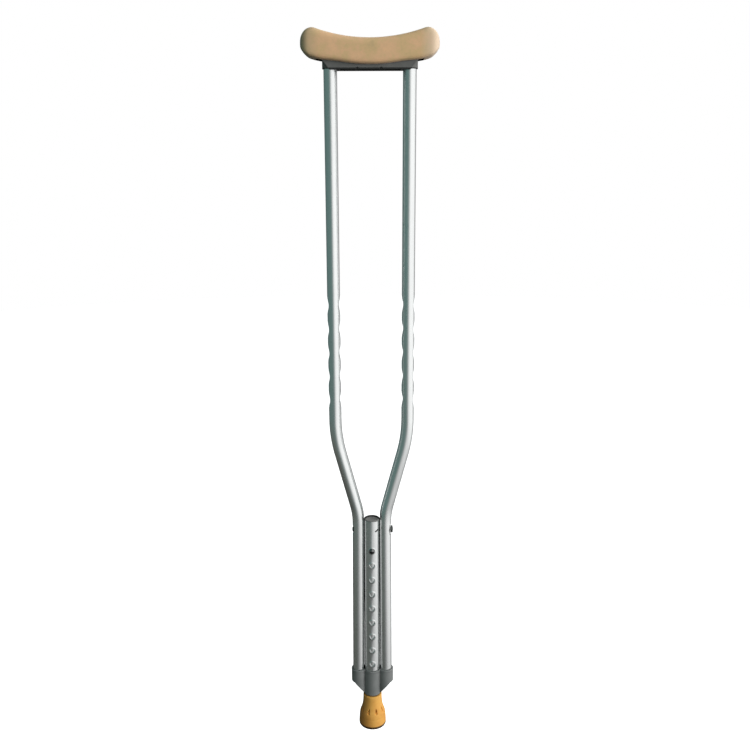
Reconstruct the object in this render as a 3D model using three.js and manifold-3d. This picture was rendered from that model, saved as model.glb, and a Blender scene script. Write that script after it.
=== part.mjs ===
// An underarm crutch: two bent aluminium uprights under a curved armpit pad, joined at the
// bottom round a centre tube, with a telescoping leg that a spring button locks in one of nine holes.
// Millimetres, +Z up. The origin is on the floor at the middle of the rubber tip. The uprights stand
// left and right along X, and the button and its row of holes face -Y.

import * as THREE from "three";
import { mergeVertices } from "three/addons/utils/BufferGeometryUtils.js";
import Module from "manifold-3d";

const wasm = await Module();
wasm.setup();

// ---- driving dimensions ----

const GAP = 0.3;                     // left between pieces that touch
const WALL = 1.2;                    // wall of every aluminium tube

const UPRIGHT_RADIUS = 9.525;        // 3/4 inch tube
const UPRIGHT_HALF_SPACING = 55.6;   // from the middle plane to each upright's axis, above the bends
const UPRIGHT_TOP = 1070;
const UPRIGHT_BOTTOM = 86;
const UPPER_BEND_TOP = 538.5;
const BEND_ANGLE = THREE.MathUtils.degToRad(14.7);
const UPPER_BEND_RADIUS = 220;
const LOWER_BEND_RADIUS = 115;
const LOWER_BEND_BOTTOM = 365.5;
const YOKE_HALF_SPACING = 21.2;      // each upright's axis at the yoke bolt
const COLLAR_HALF_SPACING = 22.5;    // and in the collar

const CENTRE_RADIUS = 12.7;          // 1 inch tube
const CENTRE_TOP = 370.8;
const CENTRE_BOTTOM = 70;
const CENTRE_PLUG_LENGTH = 9.3;      // of the part that is inside the tube
const LEG_RADIUS = 11.1;             // 7/8 inch tube
const LEG_TOP = 343;
const LEG_BOTTOM = 15.1;
const LEG_PLUG_LENGTH = 12;

const HOLE_COUNT = 9;
const HOLE_PITCH = 25.4;
const TOP_HOLE = 321.2;
const HOLE_RADIUS = 4.65;
const BUTTON_RADIUS = 4.3;
const BUTTON_TIP = -14.8;            // how far the dome reaches towards the front, along Y

const GRIP_HOLE_COUNT = 5;
const GRIP_HOLE_PITCH = 36.4;
const TOP_GRIP_HOLE = 714.7;
const GRIP_HOLE_RADIUS = 3.25;
const GRIP_SEAT = { depth: 2.1, flat: 4.5, ramp: 12.5 };  // flat pressed in the wall round a grip hole
const YOKE_SEAT = { depth: 2.225, flat: 8.4, ramp: 13 };  // flat pressed in under the bolt's head and nut

const YOKE_BOLT_HEIGHT = 354;
const BOLT_RADIUS = 3;
const BOLT_HOLE_RADIUS = 3.4;

const COLLAR_TOP = 105;
const COLLAR_SHOULDER = 82;
const COLLAR_BOTTOM = 59;
const COLLAR_LOBE_RADIUS = 11.9;
const COLLAR_BARREL_RADIUS = 14.1;
const COLLAR_BARREL_FOOT = 75;       // below this the barrel narrows
const COLLAR_CONE_RADIUS = 31;       // of the cone that cuts the lobes off, at the shoulder

const SADDLE_BOTTOM = 1046;
const SADDLE_TOP = 1072;
const SADDLE_HALF_WIDTH = 67;
const SADDLE_HALF_DEPTH = 13;
const SOCKET_RADIUS = 11.2;
const SOCKET_BOTTOM = 1047.3;
const CHANNEL = { halfLength: 42, halfDepth: 10.5, top: 1062 };       // the saddle's hollow underside
const NOTCH = { place: 18, halfWidth: 3, depth: 5, height: 3.2 };     // in its front wall, left and right

const PAD_HALF_LENGTH = 96.5;
const PAD_HALF_DEPTH = 22.5;
const PAD_MIDDLE_BOTTOM = 1052.7;
const PAD_MIDDLE_TOP = 1087.7;
const PAD_TOP_ARC = 235;             // radius of the hollow that the arm rests in
const PAD_BOTTOM_ARC = 255;
const PAD_EDGE = 5;                  // rounding of its long edges
const PAD_RECESS_HALF_WIDTH = 75;

const TIP_SOCKET_BOTTOM = 13;
const TIP_TOP = 57;

const RIVET_HEAD_RADIUS = 3.5;
const RIVET_SHANK_RADIUS = 2;
const RIVET_TAIL_RADIUS = 2.8;
const SADDLE_RIVET_HEIGHT = 1053;
const COLLAR_RIVET_HEIGHT = 97;

const FINE = 28;                     // sides of a tube's outside
const COARSE = 16;                   // sides of its bore
const SMALL = 12;                    // sides of a hole or a fastener

// ---- colours and finishes ----

const aluminium = () =>
  new THREE.MeshStandardMaterial({ color: 0xc3c8c7, roughness: 0.35, metalness: 0.9 });
const greyPlastic = () =>
  new THREE.MeshStandardMaterial({ color: 0x62686a, roughness: 0.55, metalness: 0 });
const whitePlastic = () =>
  new THREE.MeshStandardMaterial({ color: 0xd8d8d2, roughness: 0.5, metalness: 0 });
const tanFoam = () =>
  new THREE.MeshStandardMaterial({ color: 0xbf9a6d, roughness: 0.8, metalness: 0 });
const orangeRubber = () =>
  new THREE.MeshStandardMaterial({ color: 0xd9a03c, roughness: 0.7, metalness: 0 });
const steel = () =>
  new THREE.MeshStandardMaterial({ color: 0x8f9294, roughness: 0.3, metalness: 1 });
const springSteel = () =>
  new THREE.MeshStandardMaterial({ color: 0x5b5f63, roughness: 0.35, metalness: 1 });

// ---- solids: joining and cutting ----

// A closed three.js geometry as a solid, turned right side out if its faces point in.
function solid(geometry) {
  const bare = geometry.clone();
  bare.deleteAttribute("normal");
  bare.deleteAttribute("uv");
  const merged = mergeVertices(bare, 1e-4);
  const corners = new Float32Array(merged.attributes.position.array);
  const triangles = new Uint32Array(merged.index.array);
  const made = new wasm.Manifold(
    new wasm.Mesh({ numProp: 3, vertProperties: corners, triVerts: triangles }));
  if (made.volume() > 0) return made;
  return new wasm.Manifold(
    new wasm.Mesh({ numProp: 3, vertProperties: corners, triVerts: triangles.reverse() }));
}

const cutAll = (body, tools) => tools.reduce((left, tool) => left.subtract(tool), body);
const joinAll = (pieces) => pieces.reduce((whole, piece) => whole.add(piece));

function geometryOf(body) {
  const mesh = body.getMesh();
  const geometry = new THREE.BufferGeometry();
  geometry.setAttribute("position", new THREE.BufferAttribute(mesh.vertProperties.slice(), 3));
  geometry.setIndex(new THREE.BufferAttribute(mesh.triVerts.slice(), 1));
  geometry.computeVertexNormals();
  return geometry;
}

// ---- simple shapes, each already in place ----

// A solid of revolution about the Z axis, from [radius, height] pairs that start and end on the axis.
function turned(profile, sides) {
  return new THREE.LatheGeometry(profile.map(([r, z]) => new THREE.Vector2(r, z)), sides)
    .rotateX(Math.PI / 2);
}

// A round bar from low to high along Z.
const bar = (radius, low, high, sides) =>
  turned([[0, low], [radius, low], [radius, high], [0, high]], sides);

// The same shapes lying along X or Y: the profile's heights become places along that axis.
const alongX = (geometry) => geometry.rotateY(Math.PI / 2);
const alongY = (geometry) => geometry.rotateX(-Math.PI / 2);

function block(low, high) {
  const size = high.map((value, axis) => value - low[axis]);
  const middle = high.map((value, axis) => (value + low[axis]) / 2);
  return new THREE.BoxGeometry(...size).translate(...middle);
}

// An outline drawn in X and Z, given depth along Y from front to back.
function slab(shape, front, back, options = {}) {
  return new THREE.ExtrudeGeometry(shape, { depth: back - front, bevelEnabled: false, ...options })
    .rotateX(Math.PI / 2)
    .translate(0, back, 0);
}

function tube(radius, low, high) {
  return solid(bar(radius, low, high, FINE))
    .subtract(solid(bar(radius - WALL, low - 1, high + 1, FINE)));
}

// ---- the uprights ----

// A path through given points, so that sections stand only where the tube bends or is pressed in.
class StationPath extends THREE.Curve {
  constructor(points) {
    super();
    this.points = points;
  }

  getPoint(t, target = new THREE.Vector3()) {
    const last = this.points.length - 1;
    const from = Math.min(Math.floor(t * last + 1e-6), last - 1);
    return target.lerpVectors(this.points[from], this.points[from + 1], t * last - from);
  }

  getPointAt(u, target) {
    return this.getPoint(u, target);
  }

  getTangentAt(u, target = new THREE.Vector3()) {
    const last = this.points.length - 1;
    const at = Math.round(u * last);
    const before = this.points[Math.max(at - 1, 0)];
    const after = this.points[Math.min(at + 1, last)];
    return target.subVectors(after, before).normalize();
  }
}

// The right upright's axis from its top end down, in the plane Y = 0.
function uprightAxis() {
  const points = [];
  const add = (x, z) => points.push(new THREE.Vector3(x, 0, z));
  const seat = (x, z, { flat, ramp }) => [ramp, flat, -flat, -ramp].forEach((dz) => add(x, z + dz));

  add(UPRIGHT_HALF_SPACING, UPRIGHT_TOP);
  gripHeights().forEach((z) => seat(UPRIGHT_HALF_SPACING, z, GRIP_SEAT));

  const upperSteps = 6;
  for (let i = 0; i <= upperSteps; i += 1) {
    const angle = (BEND_ANGLE * i) / upperSteps;
    add(UPRIGHT_HALF_SPACING - UPPER_BEND_RADIUS * (1 - Math.cos(angle)),
      UPPER_BEND_TOP - UPPER_BEND_RADIUS * Math.sin(angle));
  }
  const lowerSteps = 4;
  for (let i = lowerSteps; i >= 0; i -= 1) {
    const angle = (BEND_ANGLE * i) / lowerSteps;
    add(YOKE_HALF_SPACING + LOWER_BEND_RADIUS * (1 - Math.cos(angle)),
      LOWER_BEND_BOTTOM + LOWER_BEND_RADIUS * Math.sin(angle));
  }
  seat(YOKE_HALF_SPACING, YOKE_BOLT_HEIGHT, YOKE_SEAT);
  add(COLLAR_HALF_SPACING, COLLAR_TOP);
  add(COLLAR_HALF_SPACING, UPRIGHT_BOTTOM);
  return points;
}

function gripHeights() {
  return Array.from({ length: GRIP_HOLE_COUNT }, (_, i) => TOP_GRIP_HOLE - GRIP_HOLE_PITCH * i);
}

function buttonHoleHeights() {
  return Array.from({ length: HOLE_COUNT }, (_, i) => TOP_HOLE - HOLE_PITCH * i);
}

// One surface of the upright, swept along its axis and then pressed: flat at the grip holes and under
// the yoke bolt's head or nut, and hollow where it lies against the centre tube.
function pressedSweep(radius, sides, inset, extend) {
  const points = uprightAxis();
  points[0].z += extend;
  points.at(-1).z -= extend;
  const round = new THREE.Shape(Array.from({ length: sides }, (_, i) => {
    const angle = ((i + 0.5) / sides) * 2 * Math.PI;
    return new THREE.Vector2(radius * Math.cos(angle), radius * Math.sin(angle));
  }));
  const geometry = new THREE.ExtrudeGeometry(round, {
    steps: points.length - 1,
    extrudePath: new StationPath(points),
    bevelEnabled: false,
  });

  const place = geometry.attributes.position;
  const gripLimit = UPRIGHT_RADIUS - GRIP_SEAT.depth - inset;
  const yokeLimit = YOKE_HALF_SPACING + UPRIGHT_RADIUS - YOKE_SEAT.depth - inset;
  const nearCentre = CENTRE_RADIUS + GAP + inset;
  for (let i = 0; i < place.count; i += 1) {
    let [x, y, z] = [place.getX(i), place.getY(i), place.getZ(i)];
    if (gripHeights().some((height) => Math.abs(z - height) < GRIP_SEAT.flat + 0.1)) {
      x = UPRIGHT_HALF_SPACING
        + THREE.MathUtils.clamp(x - UPRIGHT_HALF_SPACING, -gripLimit, gripLimit);
    }
    if (Math.abs(z - YOKE_BOLT_HEIGHT) < YOKE_SEAT.flat + 0.1) x = Math.min(x, yokeLimit);
    const reach = Math.hypot(x, y);
    if (reach < nearCentre) {
      x *= nearCentre / reach;
      y *= nearCentre / reach;
    }
    place.setXYZ(i, x, y, z);
  }
  return solid(geometry);
}

function rightUpright() {
  const outside = pressedSweep(UPRIGHT_RADIUS, 24, 0, 0);
  const bore = pressedSweep(UPRIGHT_RADIUS - WALL, COARSE, WALL, 1);
  const drilled = (radius, x, z) => solid(
    alongX(bar(radius, x - 2 * UPRIGHT_RADIUS, x + 2 * UPRIGHT_RADIUS, SMALL)).translate(0, 0, z));
  const gripHoles = gripHeights().map((z) => drilled(GRIP_HOLE_RADIUS, UPRIGHT_HALF_SPACING, z));
  const boltHole = drilled(BOLT_HOLE_RADIUS, YOKE_HALF_SPACING, YOKE_BOLT_HEIGHT);
  const rivetHoles = [
    rivetHole(UPRIGHT_HALF_SPACING, SADDLE_RIVET_HEIGHT),
    rivetHole(COLLAR_HALF_SPACING, COLLAR_RIVET_HEIGHT),
  ];
  return cutAll(outside, [bore, ...gripHoles, boltHole, ...rivetHoles]);
}

const mirrored = (body) => body.mirror([1, 0, 0]);

// ---- the centre tube, its plug and the yoke bolt ----

function centreTube() {
  const holes = buttonHoleHeights().map((z) =>
    solid(alongY(bar(HOLE_RADIUS, -CENTRE_RADIUS - 5, 0, SMALL)).translate(0, 0, z)));
  const boltHole = solid(
    alongX(bar(BOLT_HOLE_RADIUS, -20, 20, SMALL)).translate(0, 0, YOKE_BOLT_HEIGHT));
  return cutAll(tube(CENTRE_RADIUS, CENTRE_BOTTOM, CENTRE_TOP), [...holes, boltHole]);
}

function centreTubePlug() {
  const skirt = CENTRE_RADIUS - WALL - GAP;
  const underside = CENTRE_TOP + GAP;
  const inner = CENTRE_TOP - CENTRE_PLUG_LENGTH;
  return turned([[0, underside], [skirt - 1.5, underside - 1], [skirt - 1.5, inner], [skirt, inner],
    [skirt, underside], [CENTRE_RADIUS, underside], [CENTRE_RADIUS, underside + 0.9],
    [CENTRE_RADIUS - 0.8, underside + 1.6], [0, underside + 1.9]], FINE);
}

const YOKE_FACE = YOKE_HALF_SPACING + UPRIGHT_RADIUS - YOKE_SEAT.depth;
const WASHER_THICKNESS = 0.8;
const NUT_INNER_FACE = YOKE_FACE + WASHER_THICKNESS + 2 * GAP;
const NUT_THICKNESS = 3.2;

// A low domed head on the left, and a plain shank that ends just past the nut on the right.
function yokeBolt() {
  const underHead = -YOKE_FACE - GAP;
  const shankEnd = NUT_INNER_FACE + NUT_THICKNESS + 0.5;
  const profile = [[0, underHead - 2.6], [2.2, underHead - 2.4], [4.1, underHead - 1.6],
    [5, underHead - 0.6], [5, underHead], [BOLT_RADIUS, underHead], [BOLT_RADIUS, shankEnd - 0.6],
    [BOLT_RADIUS - 0.6, shankEnd], [0, shankEnd]];
  return alongX(turned(profile, 16)).translate(0, 0, YOKE_BOLT_HEIGHT);
}

function ring(outer, inner, low, high, sides, boreSides = sides) {
  return solid(bar(outer, low, high, sides)).subtract(solid(bar(inner, low - 1, high + 1, boreSides)));
}

function yokeWasher() {
  const low = YOKE_FACE + GAP;
  const flat = ring(7.5, BOLT_RADIUS + GAP, low, low + WASHER_THICKNESS, 20, SMALL);
  return alongX(geometryOf(flat)).translate(0, 0, YOKE_BOLT_HEIGHT);
}

function yokeNut() {
  const acrossCorners = 5.77;
  const hexagon = ring(acrossCorners, BOLT_RADIUS + GAP, NUT_INNER_FACE,
    NUT_INNER_FACE + NUT_THICKNESS, 6, SMALL);
  return alongX(geometryOf(hexagon)).translate(0, 0, YOKE_BOLT_HEIGHT);
}

// ---- the collar at the foot of the uprights ----

function collar() {
  const lobe = (x) => solid(bar(COLLAR_LOBE_RADIUS, COLLAR_BOTTOM, COLLAR_TOP, 24).translate(x, 0, 0));
  const barrel = solid(turned([[0, COLLAR_BOTTOM], [12.9, COLLAR_BOTTOM], [13.5, COLLAR_BOTTOM + 2],
    [COLLAR_BARREL_RADIUS, COLLAR_BARREL_FOOT], [COLLAR_BARREL_RADIUS, COLLAR_TOP],
    [0, COLLAR_TOP]], FINE));

  // underneath, the lobes are cut off by a cone that opens upwards from the barrel
  const outerSide = COLLAR_HALF_SPACING + COLLAR_LOBE_RADIUS;
  const cone = solid(turned([[0, COLLAR_BOTTOM], [COLLAR_BARREL_RADIUS, COLLAR_BOTTOM],
    [COLLAR_CONE_RADIUS, COLLAR_SHOULDER], [outerSide + 1, COLLAR_SHOULDER], [outerSide + 1, COLLAR_TOP],
    [0, COLLAR_TOP]], 2 * FINE));
  const lobes = joinAll([lobe(COLLAR_HALF_SPACING), lobe(-COLLAR_HALF_SPACING)]).intersect(cone);

  const pocket = (x) => solid(
    bar(UPRIGHT_RADIUS + GAP, UPRIGHT_BOTTOM - GAP, COLLAR_TOP + 5, 24).translate(x, 0, 0));
  const centreBore = solid(bar(CENTRE_RADIUS + GAP, CENTRE_BOTTOM - GAP, COLLAR_TOP + 5, FINE));
  const legBore = solid(bar(LEG_RADIUS + 0.4, COLLAR_BOTTOM - 5, COLLAR_TOP, FINE));
  const rivetHoles = [-1, 1].map((side) => rivetHole(side * COLLAR_HALF_SPACING, COLLAR_RIVET_HEIGHT));
  return cutAll(joinAll([lobes, barrel]),
    [pocket(COLLAR_HALF_SPACING), pocket(-COLLAR_HALF_SPACING), centreBore, legBore, ...rivetHoles]);
}

// ---- rivets, all set from behind ----

function rivetHole(x, z) {
  return solid(alongY(bar(RIVET_SHANK_RADIUS + GAP, 2, 30, 10)).translate(x, 0, z));
}

// Domed head outside, plain shank, and a spread tail inside the tube.
function rivet(x, z, seat) {
  const tail = 7.2;
  const profile = [[0, tail - 2], [RIVET_TAIL_RADIUS, tail - 2], [RIVET_TAIL_RADIUS, tail],
    [RIVET_SHANK_RADIUS, tail + 0.6], [RIVET_SHANK_RADIUS, seat + GAP],
    [RIVET_HEAD_RADIUS, seat + GAP], [2.7, seat + 1.5], [0, seat + 2]];
  return alongY(turned(profile, SMALL)).translate(x, 0, z);
}

// ---- the saddle and the pad ----

// A channel open underneath, with a socket for each upright. Its front and back walls are cut off at
// a slope outside the sockets.
function saddle() {
  const slopeTop = SADDLE_BOTTOM + 13;
  const half = [[0, SADDLE_BOTTOM], [56, SADDLE_BOTTOM], [58, SADDLE_BOTTOM + 1.6],
    [SADDLE_HALF_WIDTH, slopeTop], [SADDLE_HALF_WIDTH, SADDLE_TOP - 4],
    [SADDLE_HALF_WIDTH - 4, SADDLE_TOP], [0, SADDLE_TOP]];
  const outline = new THREE.Shape([
    ...half.map(([x, z]) => new THREE.Vector2(x, z)),
    ...half.slice(1, -1).reverse().map(([x, z]) => new THREE.Vector2(-x, z)),
  ]);
  const bridge = solid(slab(outline, -SADDLE_HALF_DEPTH, SADDLE_HALF_DEPTH));
  const sides = [-1, 1];
  const sockets = sides.map((side) => solid(
    bar(SOCKET_RADIUS, SOCKET_BOTTOM, SADDLE_TOP, 24).translate(side * UPRIGHT_HALF_SPACING, 0, 0)));
  const bores = sides.map((side) => solid(
    bar(UPRIGHT_RADIUS + GAP, SOCKET_BOTTOM - 5, UPRIGHT_TOP + GAP, 24)
      .translate(side * UPRIGHT_HALF_SPACING, 0, 0)));
  const channel = solid(block([-CHANNEL.halfLength, -CHANNEL.halfDepth, SADDLE_BOTTOM - 1],
    [CHANNEL.halfLength, CHANNEL.halfDepth, CHANNEL.top]));
  const notches = sides.map((side) => solid(
    block([side * NOTCH.place - NOTCH.halfWidth, -SADDLE_HALF_DEPTH - 1, SADDLE_BOTTOM - 1],
      [side * NOTCH.place + NOTCH.halfWidth, -SADDLE_HALF_DEPTH + NOTCH.depth,
        SADDLE_BOTTOM + NOTCH.height])));
  const rivetHoles = sides.map((side) => rivetHole(side * UPRIGHT_HALF_SPACING, SADDLE_RIVET_HEIGHT));
  return cutAll(joinAll([bridge, ...sockets]), [...bores, channel, ...notches, ...rivetHoles]);
}

// A bar that sags in the middle, with blunt rounded ends and a recess below for the saddle.
function underarmPad() {
  const rise = (radius, x) => radius - Math.sqrt(radius * radius - x * x);
  const shoulderX = 76;
  const shoulderZ = PAD_MIDDLE_TOP + rise(PAD_TOP_ARC, shoulderX);
  const footX = 91;
  const footZ = PAD_MIDDLE_BOTTOM + rise(PAD_BOTTOM_ARC, footX);
  const endZ = shoulderZ - 21;
  const topAngle = Math.asin(shoulderX / PAD_TOP_ARC);
  const bottomAngle = Math.asin(footX / PAD_BOTTOM_ARC);

  const outline = new THREE.Shape();
  outline.absarc(0, PAD_MIDDLE_TOP + PAD_TOP_ARC, PAD_TOP_ARC,
    -Math.PI / 2 - topAngle, -Math.PI / 2 + topAngle, false);
  outline.bezierCurveTo(shoulderX + 8, shoulderZ + 2.7, PAD_HALF_LENGTH, shoulderZ - 4.3,
    PAD_HALF_LENGTH, endZ);
  outline.bezierCurveTo(PAD_HALF_LENGTH, endZ - 4, PAD_HALF_LENGTH - 1, footZ + 2, footX, footZ);
  outline.absarc(0, PAD_MIDDLE_BOTTOM + PAD_BOTTOM_ARC, PAD_BOTTOM_ARC,
    -Math.PI / 2 + bottomAngle, -Math.PI / 2 - bottomAngle, true);
  outline.bezierCurveTo(-PAD_HALF_LENGTH + 1, footZ + 2, -PAD_HALF_LENGTH, endZ - 4,
    -PAD_HALF_LENGTH, endZ);
  outline.bezierCurveTo(-PAD_HALF_LENGTH, shoulderZ - 4.3, -shoulderX - 8, shoulderZ + 2.7,
    -shoulderX, shoulderZ);

  const cushion = solid(slab(outline, -PAD_HALF_DEPTH + PAD_EDGE, PAD_HALF_DEPTH - PAD_EDGE, {
    bevelEnabled: true,
    bevelThickness: PAD_EDGE,
    bevelSize: PAD_EDGE,
    bevelOffset: -PAD_EDGE,
    bevelSegments: 3,
    curveSegments: 6,
  }));
  const recess = solid(block(
    [-PAD_RECESS_HALF_WIDTH, -SADDLE_HALF_DEPTH - GAP, 1040],
    [PAD_RECESS_HALF_WIDTH, SADDLE_HALF_DEPTH + GAP, SADDLE_TOP + GAP]));
  return cushion.subtract(recess);
}

// ---- the sliding leg ----

function legTube() {
  const hole = solid(alongY(bar(HOLE_RADIUS, -LEG_RADIUS - 5, 0, SMALL)).translate(0, 0, TOP_HOLE));
  return tube(LEG_RADIUS, LEG_BOTTOM, LEG_TOP).subtract(hole);
}

// Its rim runs on the inside of the centre tube and keeps the leg central.
function legTopPlug() {
  const skirt = LEG_RADIUS - WALL - GAP;
  const rim = CENTRE_RADIUS - WALL - 0.25;
  const underside = LEG_TOP + GAP;
  const inner = LEG_TOP - LEG_PLUG_LENGTH;
  return turned([[0, underside], [skirt - 1.6, underside - 1], [skirt - 1.6, inner], [skirt, inner],
    [skirt, underside], [rim, underside], [rim, underside + 2.4],
    [rim - 0.8, underside + 3], [0, underside + 3]], FINE);
}

const ARM_FRONT = -7.1;              // front face of the spring's front arm, along Y
const SPRING_THICKNESS = 0.6;
const SPRING_HALF_WIDTH = 4;
const SPRING_BEND_BELOW = 33.3;      // from the button down to where the strip starts to bend
const REAR_ARM_SHORTER = 14;

// A strip bent into a U that stands in the leg tube with its bend down.
function snapSpring() {
  const bendHeight = TOP_HOLE - SPRING_BEND_BELOW;
  const armTop = TOP_HOLE + 7;
  const outer = -ARM_FRONT;
  const inner = outer - SPRING_THICKNESS;
  const strip = new THREE.Shape();
  strip.moveTo(-outer, armTop);
  strip.lineTo(-outer, bendHeight);
  strip.absarc(0, bendHeight, outer, Math.PI, 2 * Math.PI, false);
  strip.lineTo(outer, armTop - REAR_ARM_SHORTER);
  strip.lineTo(inner, armTop - REAR_ARM_SHORTER);
  strip.lineTo(inner, bendHeight);
  strip.absarc(0, bendHeight, inner, 2 * Math.PI, Math.PI, true);
  strip.lineTo(-inner, armTop);
  strip.closePath();
  const leaf = solid(slab(strip, -SPRING_HALF_WIDTH, SPRING_HALF_WIDTH, { curveSegments: 8 })
    .rotateZ(Math.PI / 2));
  const stemHole = solid(alongY(bar(2.1, -20, 0, SMALL)).translate(0, 0, TOP_HOLE));
  return leaf.subtract(stemHole);
}

// Domed pin with a flange that stops it inside the leg tube, and a stem clenched behind the spring.
function snapButton() {
  const flangeFront = -8.2;
  const flangeBack = ARM_FRONT - GAP;
  const armBack = ARM_FRONT + SPRING_THICKNESS + GAP;
  const profile = [[0, BUTTON_TIP], [1.8, BUTTON_TIP + 0.3], [3.2, BUTTON_TIP + 1],
    [4, BUTTON_TIP + 2], [BUTTON_RADIUS, BUTTON_TIP + 3.2], [BUTTON_RADIUS, flangeFront],
    [5, flangeFront], [5, flangeBack], [1.8, flangeBack], [1.8, armBack], [3, armBack],
    [3, armBack + 0.8], [0, armBack + 0.8]];
  return alongY(turned(profile, 20)).translate(0, 0, TOP_HOLE);
}

function rubberTip() {
  const socket = LEG_RADIUS + GAP;
  return turned([[0, 0], [19.4, 0], [21.4, 1], [22.4, 4], [22, 12], [21.4, 18], [21.2, 21],
    [19.9, 26.8], [18.1, 31], [16.9, 36], [15.7, 45], [15.4, 54], [14.8, TIP_TOP], [socket, TIP_TOP],
    [socket, TIP_SOCKET_BOTTOM], [0, TIP_SOCKET_BOTTOM]], FINE);
}

const tipWasher = () => bar(10.8, TIP_SOCKET_BOTTOM + GAP, TIP_SOCKET_BOTTOM + GAP + 1.5, FINE);

// ---- assembly ----

const crutch = new THREE.Group();
const frame = new THREE.Group();
const leg = new THREE.Group();
crutch.add(frame, leg);

function place(group, name, shape, material) {
  const geometry = shape.isBufferGeometry ? shape : geometryOf(shape);
  const mesh = new THREE.Mesh(geometry, material);
  mesh.name = name;
  group.add(mesh);
}

place(frame, "underarm_pad", underarmPad(), tanFoam());
place(frame, "saddle", saddle(), greyPlastic());
place(frame, "right_upright", rightUpright(), aluminium());
place(frame, "left_upright", mirrored(rightUpright()), aluminium());
place(frame, "centre_tube", centreTube(), aluminium());
place(frame, "centre_tube_plug", centreTubePlug(), greyPlastic());
place(frame, "yoke_bolt", yokeBolt(), steel());
place(frame, "yoke_washer", yokeWasher(), steel());
place(frame, "yoke_nut", yokeNut(), steel());
place(frame, "collar", collar(), greyPlastic());
for (const [side, sign] of [["left", -1], ["right", 1]]) {
  place(frame, `${side}_saddle_rivet`,
    rivet(sign * UPRIGHT_HALF_SPACING, SADDLE_RIVET_HEIGHT, SADDLE_HALF_DEPTH), aluminium());
  place(frame, `${side}_collar_rivet`,
    rivet(sign * COLLAR_HALF_SPACING, COLLAR_RIVET_HEIGHT, COLLAR_LOBE_RADIUS), aluminium());
}

place(leg, "leg_tube", legTube(), aluminium());
place(leg, "leg_top_plug", legTopPlug(), whitePlastic());
place(leg, "snap_spring", snapSpring(), springSteel());
place(leg, "snap_button", snapButton(), springSteel());
place(leg, "rubber_tip", rubberTip(), orangeRubber());
place(leg, "tip_washer", tipWasher(), steel());

export default crutch;
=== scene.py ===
"""The looks of an underarm crutch, built round its CAD frame.

Sizes are in millimetres, apart from those of the camera and the lights, and objects are in metres. +Z is
up, the origin is under the middle of the rubber tip, which stands at z = 0 at rest, and the front, with the
snap button and its row of holes, faces -Y.
"""

import math

import bmesh
import bpy
import numpy as np
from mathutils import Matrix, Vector


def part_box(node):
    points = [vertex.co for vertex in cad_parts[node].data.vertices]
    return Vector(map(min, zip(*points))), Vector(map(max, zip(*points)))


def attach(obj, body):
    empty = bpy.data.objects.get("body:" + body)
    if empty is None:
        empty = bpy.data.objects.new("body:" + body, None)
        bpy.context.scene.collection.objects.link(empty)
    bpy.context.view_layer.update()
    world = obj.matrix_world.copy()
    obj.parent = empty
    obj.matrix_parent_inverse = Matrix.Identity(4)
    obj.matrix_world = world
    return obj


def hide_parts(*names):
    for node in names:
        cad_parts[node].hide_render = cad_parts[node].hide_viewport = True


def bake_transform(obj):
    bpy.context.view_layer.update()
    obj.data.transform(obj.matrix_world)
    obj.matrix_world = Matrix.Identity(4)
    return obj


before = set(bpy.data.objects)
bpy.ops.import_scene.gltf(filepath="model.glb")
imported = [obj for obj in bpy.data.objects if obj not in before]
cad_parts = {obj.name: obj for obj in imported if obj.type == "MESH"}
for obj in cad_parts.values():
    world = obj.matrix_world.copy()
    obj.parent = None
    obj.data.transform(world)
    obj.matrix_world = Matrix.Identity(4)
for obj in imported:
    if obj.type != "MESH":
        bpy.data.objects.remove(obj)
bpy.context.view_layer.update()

MM = 0.001


def cad_box(node):
    """A CAD node's lowest and highest corners, in millimetres."""
    low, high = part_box(node)
    return low / MM, high / MM


# ---- sizes taken from the frame ----

UPRIGHT_LOW, UPRIGHT_HIGH = cad_box("right_upright")
CENTRE_LOW, CENTRE_HIGH = cad_box("centre_tube")
LEG_LOW, LEG_HIGH = cad_box("leg_tube")
PLUG_LOW, PLUG_HIGH = cad_box("centre_tube_plug")
COLLAR_LOW, COLLAR_HIGH = cad_box("collar")
SADDLE_LOW, SADDLE_HIGH = cad_box("saddle")
PAD_LOW, PAD_HIGH = cad_box("underarm_pad")
BUTTON_LOW, BUTTON_HIGH = cad_box("snap_button")
SPRING_LOW, SPRING_HIGH = cad_box("snap_spring")
TIP_TOP = cad_box("rubber_tip")[1].z
BOLT_LOW, BOLT_HIGH = cad_box("yoke_bolt")
WASHER_LOW, WASHER_HIGH = cad_box("yoke_washer")
NUT_LOW, NUT_HIGH = cad_box("yoke_nut")

# ---- driving dimensions that the frame's boxes don't give ----

GAP = 0.3
WALL = 1.2
UPRIGHT_RADIUS = 9.525
CENTRE_RADIUS = 12.7
LEG_RADIUS = 11.1

UPRIGHT_HALF_SPACING = 55.6
UPPER_BEND_TOP = 538.5
BEND_ANGLE = math.radians(14.7)
UPPER_BEND_RADIUS = 220
LOWER_BEND_RADIUS = 115
LOWER_BEND_BOTTOM = 365.5
YOKE_HALF_SPACING = 21.2
COLLAR_HALF_SPACING = 22.5

GRIP_HOLE_COUNT = 5
GRIP_HOLE_PITCH = 36.4
TOP_GRIP_HOLE = 714.7
GRIP_HOLE_RADIUS = 3.25
GRIP_SEAT = {"depth": 2.1, "flat": 1.0, "ramp": 13.0}
NUT_SEAT = {"depth": 2.225, "flat": 7.5, "ramp": 9.8}
HEAD_SEAT = {"depth": 2.225, "flat": 5.0, "ramp": 7.4}

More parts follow.
